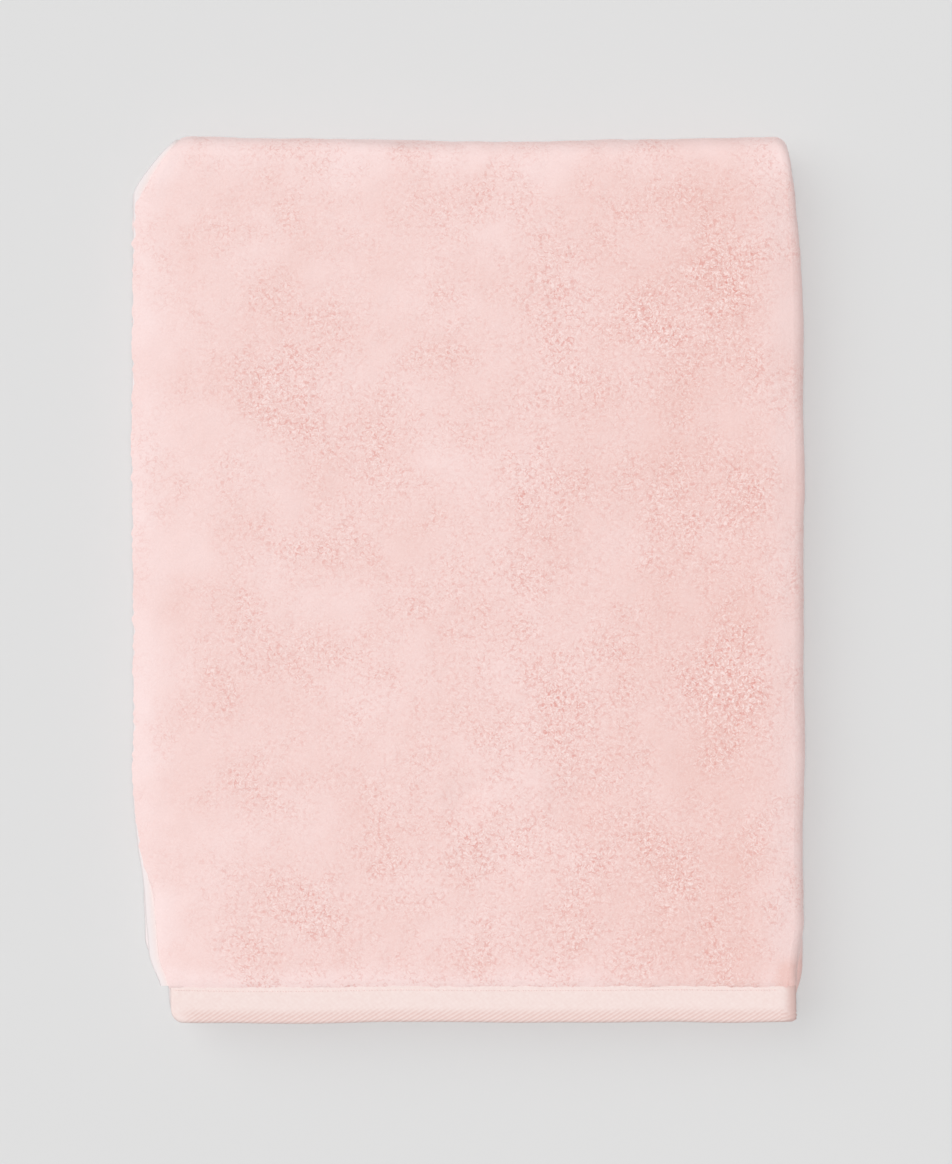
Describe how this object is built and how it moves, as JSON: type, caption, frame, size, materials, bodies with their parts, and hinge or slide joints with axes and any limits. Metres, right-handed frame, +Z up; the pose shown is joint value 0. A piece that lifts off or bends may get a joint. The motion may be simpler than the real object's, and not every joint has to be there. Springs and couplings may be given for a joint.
{
  "type": "folded bath towel",
  "caption": "Terry bath towel folded in half and then in thirds, with flat woven selvages and turned end hems, that opens out at its folds.",
  "frame": {"origin": "on the surface that the towel lies on, under the middle of its bounding box", "axes": "+Z up, +X from the open selvage side to the side fold, +Y from the near end, with the top panel's hem, to the far fold"},
  "size_m": [0.351, 0.4628, 0.0339],
  "materials": {
    "terry": "pale pink cotton loop pile on both faces, matt",
    "flat_weave": "pale pink cotton flat weave without loops, matt",
    "thread": "pink polyester sewing thread, slight sheen",
    "satin": "blank white polyester satin tape, slight sheen"
  },
  "bodies": {
    "bottom_panel": {"bottom_leaf_lower": "terry", "bottom_leaf_upper": "terry", "bottom_selvage_lower": "flat_weave", "bottom_selvage_upper": "flat_weave", "bottom_side_fold": "terry", "care_label": "satin", "far_hem_fold": "flat_weave", "far_hem_lower": "flat_weave", "far_hem_thread_lower": "thread", "far_hem_thread_upper": "thread", "far_hem_upper": "flat_weave", "near_fold_corner": "terry", "near_fold_inner": "terry", "near_fold_outer": "terry", "near_fold_selvage_inner": "flat_weave", "near_fold_selvage_outer": "flat_weave"},
    "middle_panel": {"middle_leaf_lower": "terry", "middle_leaf_upper": "terry", "middle_selvage_lower": "flat_weave", "middle_selvage_upper": "flat_weave", "middle_side_fold": "terry", "far_fold_corner": "terry", "far_fold_inner": "terry", "far_fold_outer": "terry", "far_fold_selvage_inner": "flat_weave", "far_fold_selvage_outer": "flat_weave"},
    "top_panel": {"near_hem_fold": "flat_weave", "near_hem_lower": "flat_weave", "near_hem_thread_lower": "thread", "near_hem_thread_upper": "thread", "near_hem_upper": "flat_weave", "top_leaf_lower": "terry", "top_leaf_upper": "terry", "top_selvage_lower": "flat_weave", "top_selvage_upper": "flat_weave", "top_side_fold": "terry"}
  },
  "joints": [
    {"name": "near_fold", "type": "hinge", "parent": "bottom_panel", "child": "middle_panel", "pos_m": [0, -0.21996, 0.01125], "axis": [1, 0, 0], "range_deg": [0, 179.9], "deforming": ["near_fold_corner", "near_fold_inner", "near_fold_outer", "near_fold_selvage_inner", "near_fold_selvage_outer"]},
    {"name": "far_fold", "type": "hinge", "parent": "middle_panel", "child": "top_panel", "pos_m": [0, 0.22296, 0.02265], "axis": [-1, 0, 0], "range_deg": [0, 179.9], "deforming": ["far_fold_corner", "far_fold_inner", "far_fold_outer", "far_fold_selvage_inner", "far_fold_selvage_outer"]}
  ]
}
